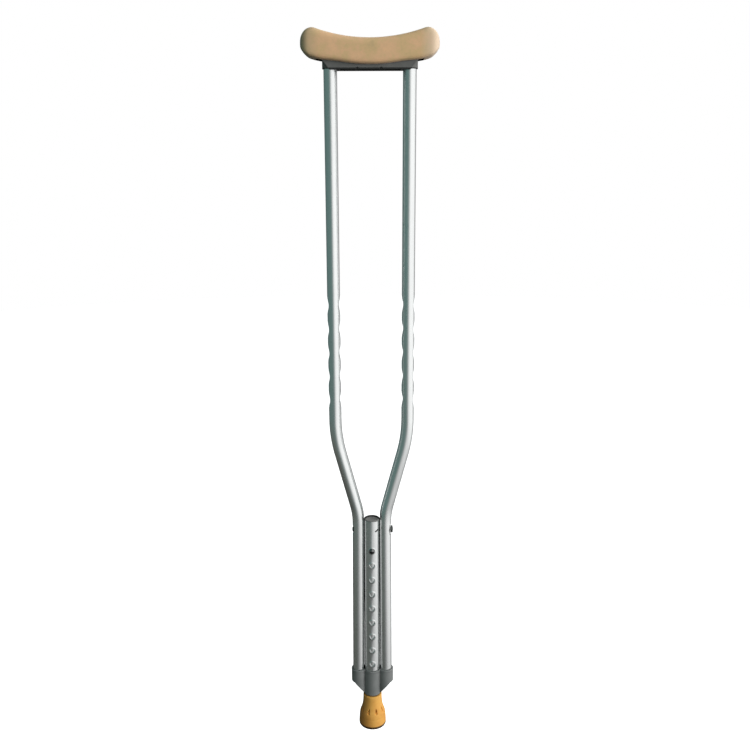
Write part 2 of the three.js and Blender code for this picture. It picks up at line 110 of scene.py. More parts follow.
HOLE_COUNT = 9
HOLE_PITCH = 25.4
LEG_TRAVEL = (HOLE_COUNT - 1) * HOLE_PITCH
HOLE_RADIUS = 4.65
TOP_HOLE = (BUTTON_LOW.z + BUTTON_HIGH.z) / 2
BOLT_HEIGHT = (BOLT_LOW.z + BOLT_HIGH.z) / 2
BOLT_HOLE_RADIUS = 3.4
NUT_BORE_RADIUS = 3.3
REAR_ARM_SHORTER = 14

RECESS_HALF_LENGTH = 75
SOCKET_RADIUS = 11.2
SOCKET_BOTTOM = 1047.3
COLLAR_LOBE_RADIUS = 11.9
COLLAR_BARREL_RADIUS = 14.1
SADDLE_RIVET_HEIGHT = 1053
COLLAR_RIVET_HEIGHT = 97

GRIP_HEIGHTS = [TOP_GRIP_HOLE - GRIP_HOLE_PITCH * i for i in range(GRIP_HOLE_COUNT)]
HOLE_HEIGHTS = [TOP_HOLE - HOLE_PITCH * i for i in range(HOLE_COUNT)]


# ---- camera ----

def make_camera():
    """In front of the crutch, above its middle and looking down a little."""
    place, focal_length = (0.0057, -1.253, 0.924), 40.75
    look_down, roll = 14.19, -0.17
    data = bpy.data.cameras.new("camera")
    data.sensor_width = 36
    data.lens = focal_length
    camera = bpy.data.objects.new("camera", data)
    bpy.context.scene.collection.objects.link(camera)
    camera.location = place
    camera.rotation_euler = (math.radians(90 - look_down), 0, 0)
    camera.rotation_euler.rotate_axis("Z", math.radians(roll))
    bpy.context.scene.camera = camera


make_camera()


# ---- shader nodes ----

def add(tree, kind, inputs=None, **settings):
    """A new shader node. inputs maps a socket's name or number to a value or to another node's socket."""
    node = tree.nodes.new("ShaderNode" + kind)
    for name, value in settings.items():
        setattr(node, name, value)
    for key, value in (inputs or {}).items():
        if isinstance(value, bpy.types.NodeSocket):
            tree.links.new(value, node.inputs[key])
        else:
            node.inputs[key].default_value = value
    return node


def ramp(tree, factor, stops):
    """A colour ramp's output; stops are (position, grey level or colour)."""
    node = add(tree, "ValToRGB", {"Fac": factor})
    band = node.color_ramp
    while len(band.elements) < len(stops):
        band.elements.new(0.5)
    for element, (position, colour) in zip(band.elements, stops):
        element.position = position
        colour = (colour,) * 3 if isinstance(colour, (int, float)) else colour
        element.color = (*colour, 1)
    return node.outputs["Color"]


def noise(tree, vector, scale, detail=2.0, roughness=0.5):
    node = add(tree, "TexNoise",
               {"Vector": vector, "Scale": scale, "Detail": detail, "Roughness": roughness})
    return node.outputs[0]


def stretched(tree, vector, scale):
    return add(tree, "Mapping", {"Vector": vector, "Scale": scale}).outputs[0]


def spread(tree, value, low, high):
    """A noise value's middle range as a number from low to high."""
    return add(tree, "MapRange", {"Value": value, "From Min": 0.3, "From Max": 0.7,
                                  "To Min": low, "To Max": high}).outputs[0]


def coordinate(tree, place, axis):
    """One axis of a place, in metres."""
    return add(tree, "SeparateXYZ", {"Vector": place}).outputs[axis]


def reach_from(tree, place, x):
    """The distance, in metres, from a vertical line on the middle plane. x is in millimetres."""
    flat = add(tree, "VectorMath", {0: place, 1: (1, 1, 0)}, operation="MULTIPLY").outputs[0]
    return add(tree, "VectorMath", {0: flat, 1: (x * MM, 0, 0)}, operation="DISTANCE").outputs["Value"]


def fade(tree, length, none, full):
    """0 at one length and 1 at another, with a straight run between. none and full are in millimetres."""
    return add(tree, "MapRange", {"Value": length, "From Min": none * MM, "From Max": full * MM}).outputs[0]


def below(tree, length, limit):
    """1 where a length is under a limit in millimetres, and 0 elsewhere."""
    return add(tree, "Math", {0: length, 1: limit * MM}, operation="LESS_THAN").outputs[0]


def total(tree, first, second):
    return add(tree, "Math", {0: first, 1: second}, operation="ADD").outputs[0]


def product(tree, first, second):
    return add(tree, "Math", {0: first, 1: second}, operation="MULTIPLY").outputs[0]


def mixture(tree, share, first, second):
    """The first colour where share is 0 and the second where it is 1."""
    return add(tree, "Mix", {0: share, 6: first, 7: second}, data_type="RGBA").outputs[2]


def tinted(tree, colour, filter_colour):
    return add(tree, "Mix", {0: 1.0, 6: colour, 7: filter_colour},
               data_type="RGBA", blend_type="MULTIPLY").outputs[2]


def darkened(tree, colour, share, left):
    """A colour, brought down to the fraction left of itself where share is 1."""
    factor = add(tree, "MapRange", {"Value": share, "To Min": 1.0, "To Max": left}).outputs[0]
    return tinted(tree, colour, factor)


def bump(tree, height, distance, strength=1.0, normal=None):
    """distance is the height of the relief, in millimetres."""
    inputs = {"Height": height, "Distance": distance * MM, "Strength": strength}
    if normal is not None:
        inputs["Normal"] = normal
    return add(tree, "Bump", inputs).outputs[0]


def start_material(name, **constants):
    """A Principled material with constant sockets set, its tree, its shader and its object coordinates."""
    material = bpy.data.materials.new(name)
    material.use_nodes = True
    tree = material.node_tree
    shader = tree.nodes["Principled BSDF"]
    for socket, value in constants.items():
        shader.inputs[socket.replace("_", " ")].default_value = value
    place = add(tree, "TexCoord").outputs["Object"]
    return material, tree, shader, place


# ---- materials ----

def satin_aluminium(name, tone, roughness, shade=None):
    """Drawn and anodised tube: fine lines along its length, and clouding. shade is a mask of painted shade,
    where it is darkened.
    """
    material, tree, shader, place = start_material(name, Metallic=1.0)
    lines = noise(tree, stretched(tree, place, (1500, 1500, 12)), 1.0, 3)
    bands = noise(tree, stretched(tree, place, (260, 260, 3)), 1.0, 2)
    clouds = noise(tree, place, 38, 3)
    dark, light = [c * 0.95 for c in tone], [min(c * 1.04, 1) for c in tone]
    colour = ramp(tree, bands, [(0.3, dark), (0.7, light)])
    # painted shade: the colour is darkened where the shade mask is 1
    if shade:
        colour = darkened(tree, colour, shade(tree, place), left=0.2)
    tree.links.new(colour, shader.inputs["Base Color"])
    rough = total(tree, spread(tree, clouds, -0.02, 0.03),
                  spread(tree, lines, roughness - 0.02, roughness + 0.02))
    tree.links.new(rough, shader.inputs["Roughness"])
    tree.links.new(bump(tree, lines, 0.012, 0.2), shader.inputs["Normal"])
    return material


def moulded_plastic(name, tone, roughness, shade=None):
    """Injection-moulded part with a fine spark-eroded grain. shade is a mask of painted shade, where it is
    nearly black.
    """
    material, tree, shader, place = start_material(name, Metallic=0.0, IOR=1.49)
    grain = noise(tree, place, 2600, 2)
    clouds = noise(tree, place, 60, 3)
    dark, light = [c * 0.88 for c in tone], [c * 1.1 for c in tone]
    colour = ramp(tree, clouds, [(0.3, dark), (0.7, light)])
    # painted shade: the colour is brought nearly to black where the shade mask is 1
    if shade:
        colour = darkened(tree, colour, shade(tree, place), left=0.1)
    tree.links.new(colour, shader.inputs["Base Color"])
    tree.links.new(spread(tree, grain, roughness - 0.05, roughness + 0.07), shader.inputs["Roughness"])
    tree.links.new(bump(tree, grain, 0.05, 0.5), shader.inputs["Normal"])
    return material


def upright_crease_shade(tree, place):
    """Painted shade: 1 in the crease where an upright lies against the centre tube."""
    touching = CENTRE_RADIUS + GAP
    return fade(tree, reach_from(tree, place, 0), touching + 1.5, touching + 0.5)


def centre_crease_shade(tree, place):
    """Painted shade: 1 in the two creases where the uprights lie against the centre tube."""
    touching = UPRIGHT_RADIUS + GAP
    left, right = (fade(tree, reach_from(tree, place, side * COLLAR_HALF_SPACING), touching + 1.6,
                        touching + 0.7) for side in (-1, 1))
    return add(tree, "Math", {0: left, 1: right}, operation="MAXIMUM").outputs[0]


def plug_wall_shade(tree, place):
    """Painted shade: 1 on the wall round the plug's dished top."""
    wall_inside, wall_outside = PLUG_HIGH.x - 2.5, PLUG_HIGH.x - 1.25
    wall_top = PLUG_HIGH.z - 0.15
    reach = reach_from(tree, place, 0)
    outward = fade(tree, reach, wall_inside - 0.4, wall_inside)
    low = below(tree, coordinate(tree, place, "Z"), wall_top)
    inside = product(tree, below(tree, reach, wall_outside), low)
    return product(tree, outward, inside)


def saddle_underside_shade(tree, place):
    """Painted shade under the saddle: 1 at its underside, fading to 0 a few millimetres up."""
    return fade(tree, coordinate(tree, place, "Z"), SADDLE_LOW.z + 3.0, SADDLE_LOW.z + 1.9)


def recess_shade(tree, place):
    """Painted shade: 1 on the walls and roof of the recess under the pad, where little light gets in."""
    axes = add(tree, "SeparateXYZ", {"Vector": place})
    across, deep = (add(tree, "Math", {0: axes.outputs[axis]}, operation="ABSOLUTE").outputs[0]
                    for axis in "XY")
    inside = product(tree, below(tree, across, RECESS_HALF_LENGTH + GAP),
                     below(tree, deep, SADDLE_HIGH.y + 2 * GAP))
    return product(tree, inside, below(tree, axes.outputs["Z"], SADDLE_HIGH.z + 1.5))


def foam_rubber(name):
    """Tan foam rubber with a moulded skin: blotches, a pebbled grain, painted light that pales the right end
    and painted shade that darkens the left end.
    """
    material, tree, shader, place = start_material(
        name, Metallic=0.0, IOR=1.45, Sheen_Weight=0.12, Sheen_Roughness=0.6)
    blotches = noise(tree, place, 34, 4, 0.6)
    mottling = noise(tree, place, 240, 4, 0.6)
    tone = total(tree, spread(tree, blotches, 0.0, 0.7), spread(tree, mottling, 0.0, 0.3))
    colour = ramp(tree, tone, [(0.0, (0.51, 0.362, 0.185)), (0.35, (0.615, 0.418, 0.207)),
                               (0.65, (0.69, 0.428, 0.235)), (1.0, (0.77, 0.475, 0.245))])
    # painted light on the right end and painted shade on the left end, as the light falls from the right
    across = coordinate(tree, stretched(tree, place, (1 / (PAD_HIGH.x * MM), 1, 1)), "X")
    painted_light_end = add(tree, "MapRange", {"Value": across, "From Min": 0.72, "From Max": 0.97,
                                      "To Min": 0.0, "To Max": 0.85}).outputs[0]
    painted_shade_end = add(tree, "MapRange", {"Value": across, "From Min": -0.72, "From Max": -1.0,
                                      "To Min": 0.0, "To Max": 0.95}).outputs[0]
    colour = mixture(tree, painted_light_end, colour, (0.72, 0.575, 0.44, 1))
    colour = mixture(tree, painted_shade_end, colour, (0.34, 0.30, 0.18, 1))
    # painted shade in the recess under the pad
    colour = darkened(tree, colour, recess_shade(tree, place), left=0.02)
    tree.links.new(colour, shader.inputs["Base Color"])
    pebbles = add(tree, "TexVoronoi", {"Vector": place, "Scale": 900}).outputs["Distance"]
    fine = noise(tree, place, 1800, 3)
    tree.links.new(spread(tree, fine, 0.58, 0.72), shader.inputs["Roughness"])
    soft = bump(tree, mottling, 0.25, 0.25)
    tree.links.new(bump(tree, pebbles, 0.12, 0.35, soft), shader.inputs["Normal"])
    return material


def tip_rubber(name):
    """Orange rubber in cloudy tones: darker lower down, with painted shade that browns the left side and
    makes the foot nearly black.
    """
    material, tree, shader, place = start_material(name, Metallic=0.0, IOR=1.5)
    clouds = noise(tree, place, 55, 4, 0.6)
    height = coordinate(tree, place, "Z")
    rise = add(tree, "MapRange", {"Value": height, "From Min": 0.0, "From Max": TIP_TOP * MM,
                                  "To Min": -0.20, "To Max": 0.25}).outputs[0]
    tone = total(tree, spread(tree, clouds, 0.2, 0.8), rise)
    colour = ramp(tree, tone, [(0.0, (0.52, 0.210, 0.040)), (0.4, (0.69, 0.330, 0.060)),
                               (1.0, (0.80, 0.440, 0.095))])
    # painted shade: the left side browner and darker
    left_side_shade = fade(tree, coordinate(tree, place, "X"), -3, -19)
    colour = mixture(tree, left_side_shade, colour, (0.50, 0.185, 0.030, 1))
    # painted shade: nearly black at the foot
    foot = fade(tree, height, 6.0, 4.8)
    tree.links.new(darkened(tree, colour, foot, left=0.08), shader.inputs["Base Color"])
    grain = noise(tree, place, 1500, 3)
    tree.links.new(spread(tree, grain, 0.52, 0.68), shader.inputs["Roughness"])
    tree.links.new(bump(tree, grain, 0.10, 0.4), shader.inputs["Normal"])
    return material


def plated_steel(name, tone, roughness):
    """Zinc-plated or bright steel, with a fine irregular grain and darker specks."""
    material, tree, shader, place = start_material(name, Metallic=1.0)
    specks = noise(tree, place, 900, 4, 0.65)
    dark = [c * 0.62 for c in tone]
    tree.links.new(ramp(tree, specks, [(0.34, dark), (0.55, tone)]), shader.inputs["Base Color"])
    tree.links.new(spread(tree, specks, roughness + 0.08, roughness - 0.04), shader.inputs["Roughness"])
    tree.links.new(bump(tree, specks, 0.02, 0.3), shader.inputs["Normal"])
    return material


TUBE_TONE = (0.80, 0.815, 0.81)
# painted shade darkens the uprights and the centre tube in the creases where they meet
UPRIGHT_ALUMINIUM = satin_aluminium("upright_aluminium", TUBE_TONE, 0.28, upright_crease_shade)
CENTRE_ALUMINIUM = satin_aluminium("centre_aluminium", TUBE_TONE, 0.28, centre_crease_shade)
LEG_ALUMINIUM = satin_aluminium("leg_aluminium", TUBE_TONE, 0.28)
RIVET_ALUMINIUM = satin_aluminium("rivet_aluminium", (0.66, 0.67, 0.67), 0.34)
COLLAR_PLASTIC = moulded_plastic("collar_plastic", (0.172, 0.180, 0.176), 0.33)
# painted shade blackens the saddle's underside
SADDLE_PLASTIC = moulded_plastic("saddle_plastic", (0.118, 0.118, 0.114), 0.44, saddle_underside_shade)
# the plug has painted shade on the inner wall of its dished top
PLUG_PLASTIC = moulded_plastic("plug_plastic", (0.185, 0.185, 0.180), 0.50, plug_wall_shade)
WHITE_PLASTIC = moulded_plastic("white_plastic", (0.72, 0.72, 0.69), 0.45)
FOAM = foam_rubber("tan_foam_rubber")
RUBBER = tip_rubber("orange_rubber")
ZINC = plated_steel("zinc_steel", (0.40, 0.41, 0.40), 0.24)
DARK_STEEL = plated_steel("dark_steel", (0.16, 0.165, 0.16), 0.30)
SPRING_STEEL = plated_steel("spring_steel", (0.20, 0.21, 0.22), 0.22)
BUTTON_STEEL = plated_steel("button_steel", (0.24, 0.24, 0.24), 0.12)


# ---- mesh helpers ----

def piece_from(name, points, faces):
    """A mesh object from points in millimetres."""
    mesh = bpy.data.meshes.new(name)
    mesh.from_pydata([(x * MM, y * MM, z * MM) for x, y, z in points], [], faces)
    piece = bpy.data.objects.new(name, mesh)
    bpy.context.scene.collection.objects.link(piece)
    return piece


def loft(name, rings, closed=False):
    """Joins rings of points in order. The ends are filled, unless closed joins the last to the first."""
    count = len(rings[0])
    points = [p for ring in rings for p in ring]
    pairs = [(i, i + 1) for i in range(len(rings) - 1)]
    if closed:
        pairs.append((len(rings) - 1, 0))
    faces = [(a * count + k, a * count + (k + 1) % count, b * count + (k + 1) % count, b * count + k)
             for a, b in pairs for k in range(count)]
    if not closed:
        faces.append(tuple(reversed(range(count))))
        faces.append(tuple((len(rings) - 1) * count + k for k in range(count)))
    piece = piece_from(name, points, faces)
    face_outwards(piece)
    return piece


def face_outwards(piece):
    body = bmesh.new()
    body.from_mesh(piece.data)
    bmesh.ops.remove_doubles(body, verts=body.verts, dist=1e-7)
    bmesh.ops.recalc_face_normals(body, faces=body.faces)
    body.to_mesh(piece.data)
    body.free()


def turned(name, profile, sides=72, along="z", centre=(0, 0, 0)):
    """A solid of revolution from (radius, height) pairs that start and end on the axis."""
    start, *middle, end = profile
    points = [place_on(along, 0, 0, start[1], centre)]
    for radius, height in middle:
        for k in range(sides):
            angle = 2 * math.pi * (k + 0.5) / sides
            points.append(place_on(along, radius * math.cos(angle), radius * math.sin(angle),
                                   height, centre))
    points.append(place_on(along, 0, 0, end[1], centre))
    last = len(points) - 1
    faces = [(0, 1 + (k + 1) % sides, 1 + k) for k in range(sides)]
    for ring in range(len(middle) - 1):
        a, b = 1 + ring * sides, 1 + (ring + 1) * sides
        faces += [(a + k, a + (k + 1) % sides, b + (k + 1) % sides, b + k) for k in range(sides)]
    a = 1 + (len(middle) - 1) * sides
    faces += [(last, a + k, a + (k + 1) % sides) for k in range(sides)]
    piece = piece_from(name, points, faces)
    face_outwards(piece)
    return piece


def place_on(along, u, v, height, centre):
    """A point at u, v across an axis and height along it, from that axis's centre."""
    x, y, z = {"x": (height, u, v), "y": (u, height, v), "z": (u, v, height)}[along]
    return x + centre[0], y + centre[1], z + centre[2]


def rod(radius, low, high, along="z", centre=(0, 0, 0), sides=64):
    """A plain round tool for cutting or joining."""
    return turned("tool", [(0, low), (radius, low), (radius, high), (0, high)], sides, along, centre)


def prism(outline, front, back, name="tool"):
    """An outline in X and Z, carried from front to back along Y."""
    rings = [[(x, y, z) for x, z in outline] for y in (front, back)]
    return loft(name, rings)


def block(low, high):
    """A box between two corners."""
    outline = [(low[0], low[2]), (high[0], low[2]), (high[0], high[2]), (low[0], high[2])]
    return prism(outline, low[1], high[1])


def settle(piece):
    """Makes the result of the modifiers the piece's own mesh."""
    graph = bpy.context.evaluated_depsgraph_get()
    result = bpy.data.meshes.new_from_object(piece.evaluated_get(graph))
    piece.modifiers.clear()
    piece.data = result


def combine(piece, tools, operation):
    """Joins, cuts or intersects a piece with each tool, which is used up."""
    for tool in tools:
        modifier = piece.modifiers.new(operation, "BOOLEAN")
        modifier.operation = operation
        modifier.solver = "EXACT"
        modifier.object = tool
        settle(piece)
        bpy.data.objects.remove(tool)
    return piece


def cut(piece, tools):
    return combine(piece, tools, "DIFFERENCE")


def join(piece, others):
    return combine(piece, others, "UNION")


def soften(piece, voxel, steps):
    """Remeshes evenly and rounds every edge a little, as a mould does. voxel is in millimetres."""
    remesh = piece.modifiers.new("even", "REMESH")
    remesh.mode = "VOXEL"
    remesh.voxel_size = voxel * MM
    smoothing = piece.modifiers.new("round", "SMOOTH")
    smoothing.factor = 0.5
    smoothing.iterations = steps
    settle(piece)
    return piece


def finish_piece(piece, body, slot, material, *nodes, sharp=35):
    """Shades a piece, gives it its material, ties it to its body and hides the CAD nodes it stands for.

    A piece given no body is tied to none.
    """
    piece.data.materials.clear()
    piece.data.materials.append(material)
    piece.data.shade_smooth()
    piece.data.set_sharp_from_angle(angle=math.radians(sharp))
    if body:
        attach(piece, body)
    if nodes:
        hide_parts(*nodes)
    return piece


def between(value, start, end):
    """0 up to start, 1 from end on, and a smooth rise in between."""
    t = min(max((value - start) / (end - start), 0), 1)
    return t * t * (3 - 2 * t)


def soft_limit(value, limit, rounding):
    """value, kept below limit with the corner rounded off."""
    overlap = max(rounding - abs(value - limit), 0) / rounding
    return min(value, limit) - overlap * overlap * rounding / 4


# ---- the uprights ----

def upright_axis():
    """(x, z, lean) down the right upright's axis, close together only where it bends or is pressed."""
    top, bottom, end_ring = UPRIGHT_HIGH.z, UPRIGHT_LOW.z, 0.5
    half_grip_steps, bend_steps, yoke_steps, lower_steps = 9, 22, 30, 8
    yoke_reach = 10.5
    heights = [top, top - end_ring]
    for grip in GRIP_HEIGHTS:
        heights += [grip + GRIP_SEAT["ramp"] * (1 - i / half_grip_steps)
                    for i in range(2 * half_grip_steps + 1)]
    stations = [(UPRIGHT_HALF_SPACING, z, 0) for z in heights]

    for i in range(bend_steps + 1):
        lean = BEND_ANGLE * i / bend_steps
        stations.append((UPRIGHT_HALF_SPACING - UPPER_BEND_RADIUS * (1 - math.cos(lean)),
                         UPPER_BEND_TOP - UPPER_BEND_RADIUS * math.sin(lean), lean))
    for i in range(bend_steps, 0, -1):
        lean = BEND_ANGLE * i / bend_steps
        stations.append((YOKE_HALF_SPACING + LOWER_BEND_RADIUS * (1 - math.cos(lean)),
                         LOWER_BEND_BOTTOM + LOWER_BEND_RADIUS * math.sin(lean), lean))

    for i in range(yoke_steps + 1):
        stations.append((YOKE_HALF_SPACING, BOLT_HEIGHT + yoke_reach * (1 - 2 * i / yoke_steps), 0))
    yoke_bottom = BOLT_HEIGHT - yoke_reach
    for i in range(1, lower_steps + 1):
        share = i / lower_steps
        stations.append((YOKE_HALF_SPACING + (COLLAR_HALF_SPACING - YOKE_HALF_SPACING) * share,
                         yoke_bottom + (COLLAR_HIGH.z - yoke_bottom) * share, 0))
    stations += [(COLLAR_HALF_SPACING, bottom + end_ring, 0), (COLLAR_HALF_SPACING, bottom, 0)]
    return stations


def seat_depth(z, middle, seat):
    """How far a seat is pressed in at a height."""
    return seat["depth"] * (1 - between(abs(z - middle), seat["flat"], seat["ramp"]))


def upright_ring(station, yoke_seat, radius, inset, sides):
    """One ring of the upright's surface, pressed flat at its seats and hollow against the centre tube."""
    axis_x, axis_z, lean = station
    grip_rounding, yoke_rounding = 0.8, 0.6
    grip = max(seat_depth(axis_z, height, GRIP_SEAT) for height in GRIP_HEIGHTS)
    yoke = seat_depth(axis_z, BOLT_HEIGHT, yoke_seat)
    near_centre = CENTRE_RADIUS + GAP + inset
    ring = []
    for k in range(sides):
        angle = 2 * math.pi * (k + 0.5) / sides
        across, y = radius * math.cos(angle), radius * math.sin(angle)
        if grip > 0.01:
            size = soft_limit(abs(across), UPRIGHT_RADIUS - grip - inset, grip_rounding)
            across = math.copysign(size, across)
        if yoke > 0.01 and across > 0:
            across = soft_limit(across, UPRIGHT_RADIUS - yoke - inset, yoke_rounding)
        x, z = axis_x + across * math.cos(lean), axis_z - across * math.sin(lean)
        reach = math.hypot(x, y)
        if reach < near_centre:
            x, y = x * near_centre / reach, y * near_centre / reach
        ring.append((x, y, z))
    return ring


def upright(node, side):
    """One bent tube. The left one is pressed for the bolt's head, the right one for its washer and nut."""
    sides = 72
    yoke_seat = NUT_SEAT if side > 0 else HEAD_SEAT
    stations = upright_axis()
    outside = [upright_ring(s, yoke_seat, UPRIGHT_RADIUS, 0, sides) for s in stations]
    inside = [upright_ring(s, yoke_seat, UPRIGHT_RADIUS - WALL, WALL, sides) for s in reversed(stations)]
    rings = [[(side * x, y, z) for x, y, z in ring] for ring in outside + inside]
    piece = loft(node + "_tube", rings, closed=True)
    holes = [(GRIP_HOLE_RADIUS, UPRIGHT_HALF_SPACING, z) for z in GRIP_HEIGHTS]
    holes.append((BOLT_HOLE_RADIUS, YOKE_HALF_SPACING, BOLT_HEIGHT))
    cut(piece, [rod(radius, -2 * UPRIGHT_RADIUS, 2 * UPRIGHT_RADIUS, "x", (side * x, 0, z), 40)
                for radius, x, z in holes])
    return finish_piece(piece, "frame", "satin_aluminium", UPRIGHT_ALUMINIUM, node)


# ---- the centre tube, its plug and the leg tube ----

def straight_tube(name, radius, low, high, hole_heights, rim_rise):
    """A tube with its ends eased and a row of round holes in its front wall, their rims raised a little."""
    sides, fine_steps = 144, 26
    ease, rim_width = 0.35, 1.5
    fine = [-HOLE_RADIUS - rim_width + (2 * HOLE_RADIUS + 2 * rim_width) * i / fine_steps
            for i in range(fine_steps + 1)]
    levels = sorted({z + dz for z in hole_heights for dz in fine})
    profile = [(radius - ease, low), (radius, low + ease)]
    profile += [(radius, z) for z in levels if low + 1 < z < high - 1]
    profile += [(radius, high - ease), (radius - ease, high), (radius - WALL, high), (radius - WALL, low)]
    rings = []
    for reach, z in profile:
        ring = []
        nearest = min(abs(z - height) for height in hole_heights)
        for k in range(sides):
            angle = 2 * math.pi * (k + 0.5) / sides
            x, y = reach * math.cos(angle), reach * math.sin(angle)
            if reach == radius and y < 0:
                share = 1 - between(math.hypot(x, nearest), HOLE_RADIUS, HOLE_RADIUS + rim_width)
                x, y = x * (1 + rim_rise * share / radius), y * (1 + rim_rise * share / radius)
            ring.append((x, y, z))
        rings.append(ring)
    piece = loft(name, rings, closed=True)
    return cut(piece, [rod(HOLE_RADIUS, -2 * radius, -radius / 2, "y", (0, 0, z)) for z in hole_heights])


def centre_tube():
    piece = straight_tube("centre_tube_shell", CENTRE_RADIUS, CENTRE_LOW.z, CENTRE_HIGH.z,
                          HOLE_HEIGHTS, rim_rise=0.3)
    bolt_hole = rod(BOLT_HOLE_RADIUS, -2 * CENTRE_RADIUS, 2 * CENTRE_RADIUS, "x", (0, 0, BOLT_HEIGHT))
    cut(piece, [bolt_hole, slanting_slot()])
    return finish_piece(piece, "frame", "satin_aluminium", CENTRE_ALUMINIUM, "centre_tube")


def slanting_slot():
    """The tool for a narrow slanting slot in the tube, beside the yoke bolt."""
    angle, tilt = math.radians(39), math.radians(-30)
    reach, height = CENTRE_RADIUS - 0.5, BOLT_HEIGHT + 1.6
    half_length, half_depth, half_width = 3.5, 2, 1.25
    tool = block((-half_length, -half_depth, -half_width), (half_length, half_depth, half_width))
    tool.rotation_euler = (0, tilt, angle)
    tool.location = Vector((reach * math.sin(angle), -reach * math.cos(angle), height)) * MM
    bpy.context.view_layer.update()
    return tool


def leg_tube():
    piece = straight_tube("leg_tube_shell", LEG_RADIUS, LEG_LOW.z, LEG_HIGH.z, [TOP_HOLE], rim_rise=0)
    return finish_piece(piece, "leg", "satin_aluminium", LEG_ALUMINIUM, "leg_tube")


def centre_plug():
    """A cap with a shallow dished top inside a rounded rim."""
    edge, top = PLUG_HIGH.x, PLUG_HIGH.z
    under = CENTRE_HIGH.z + GAP
    skirt, skirt_wall = CENTRE_RADIUS - WALL - GAP, 1.5
    hollow_top = under - 2.6
    hollow = [(0, hollow_top), (skirt - skirt_wall, hollow_top), (skirt - skirt_wall, PLUG_LOW.z),
              (skirt, PLUG_LOW.z), (skirt, under)]
    rim = [(edge - 0.2, under), (edge, under + 0.25), (edge, under + 0.7), (edge - 0.25, under + 1.25),
           (edge - 0.7, top - 0.15), (edge - 1.0, top - 0.02), (edge - 1.25, top - 0.1)]
    dish = [(edge - 1.45, top - 0.4), (edge - 2.0, top - 1.95), (edge - 2.5, top - 2.3), (0, top - 2.2)]
    piece = turned("centre_tube_cap", hollow + rim + dish, 96)
    return finish_piece(piece, "frame", "grey_plastic", PLUG_PLASTIC, "centre_tube_plug")


# ---- the yoke bolt, washer and nut ----

def yoke_bolt():
    """A low domed head, a plain shank and a thread that runs on past the nut."""
    head_top, shank_end = BOLT_LOW.x, BOLT_HIGH.x
    head_radius, head_height, shank = BOLT_HIGH.z - BOLT_HEIGHT, 2.6, 3.0
    under = head_top + head_height
    pitch, thread_depth, end_ease = 1.0, 0.45, 0.6
    profile = [(0, head_top), (1.4, head_top + 0.08), (2.6, head_top + 0.32), (3.6, head_top + 0.75),
               (4.4, head_top + 1.3), (4.85, head_top + 1.8), (head_radius, head_top + 2.2),
               (head_radius, under - 0.1), (head_radius - 0.1, under), (shank, under)]
    thread_start = NUT_LOW.x - 2
    for i in range(int((shank_end - end_ease - thread_start) / pitch)):
        start = thread_start + i * pitch
        profile += [(shank, start), (shank - thread_depth, start + pitch / 2)]
    profile += [(shank, shank_end - end_ease), (shank - end_ease, shank_end), (0, shank_end)]
    piece = turned("yoke_bolt_body", profile, 48, "x", (0, 0, BOLT_HEIGHT))
    return finish_piece(piece, "frame", "zinc_steel", DARK_STEEL, "yoke_bolt")


def yoke_washer():
    low, high = WASHER_LOW.x, WASHER_HIGH.x
    outer, inner, ease = WASHER_HIGH.z - BOLT_HEIGHT, NUT_BORE_RADIUS, 0.2
    profile = [(inner, low), (outer - ease, low), (outer, low + ease), (outer, high - ease),
               (outer - ease, high), (inner + ease, high), (inner, high - ease)]
    sides = 64
    rings = [[place_on("x", r * math.cos(2 * math.pi * k / sides), r * math.sin(2 * math.pi * k / sides),
                       h, (0, 0, BOLT_HEIGHT)) for k in range(sides)] for r, h in profile]
    piece = loft("yoke_washer_ring", rings, closed=True)
    return finish_piece(piece, "frame", "zinc_steel", ZINC, "yoke_washer")


def yoke_nut():
    """A hexagon nut, its corners turned down at both faces."""
    low, high = NUT_LOW.x, NUT_HIGH.x
    corner, chamfer = 5.77, 0.75
    face = corner * 0.87
    hexagon = [(corner * math.cos(math.pi * k / 3), corner * math.sin(math.pi * k / 3)) for k in range(6)]
    rings = [[place_on("x", u, v, h, (0, 0, BOLT_HEIGHT)) for u, v in hexagon] for h in (low, high)]
    piece = loft("yoke_nut_hexagon", rings)
    cone = turned("tool", [(0, low - 0.01), (face, low - 0.01), (corner + 0.1, low + chamfer),
                           (corner + 0.1, high - chamfer), (face, high + 0.01), (0, high + 0.01)],
                  64, "x", (0, 0, BOLT_HEIGHT))
    combine(piece, [cone], "INTERSECT")
    cut(piece, [rod(NUT_BORE_RADIUS, low - 2, high + 2, "x", (0, 0, BOLT_HEIGHT), 48)])
    return finish_piece(piece, "frame", "zinc_steel", DARK_STEEL, "yoke_nut", sharp=20)


# ---- the collar ----

def collar_outline(z, extra):
    """Three round lobes side by side, as one ring of points. extra widens all three."""
    lobe, barrel = COLLAR_LOBE_RADIUS + extra, COLLAR_BARREL_RADIUS + extra
    spacing = COLLAR_HALF_SPACING
    crease_x = (spacing ** 2 + barrel ** 2 - lobe ** 2) / (2 * spacing)
    crease_y = math.sqrt(barrel ** 2 - crease_x ** 2)
    lobe_end = math.atan2(crease_y, crease_x - spacing)
    barrel_start = math.atan2(crease_y, crease_x)
    ring = []
    for centre, radius, start, end, steps in (
            (spacing, lobe, -lobe_end, lobe_end, 64),
            (0, barrel, barrel_start, math.pi - barrel_start, 40),
            (-spacing, lobe, math.pi - lobe_end, math.pi + lobe_end, 64),
            (0, barrel, math.pi + barrel_start, 2 * math.pi - barrel_start, 40)):
        for i in range(steps):
            angle = start + (end - start) * i / steps
            ring.append((centre + radius * math.cos(angle), radius * math.sin(angle), z))
    return ring


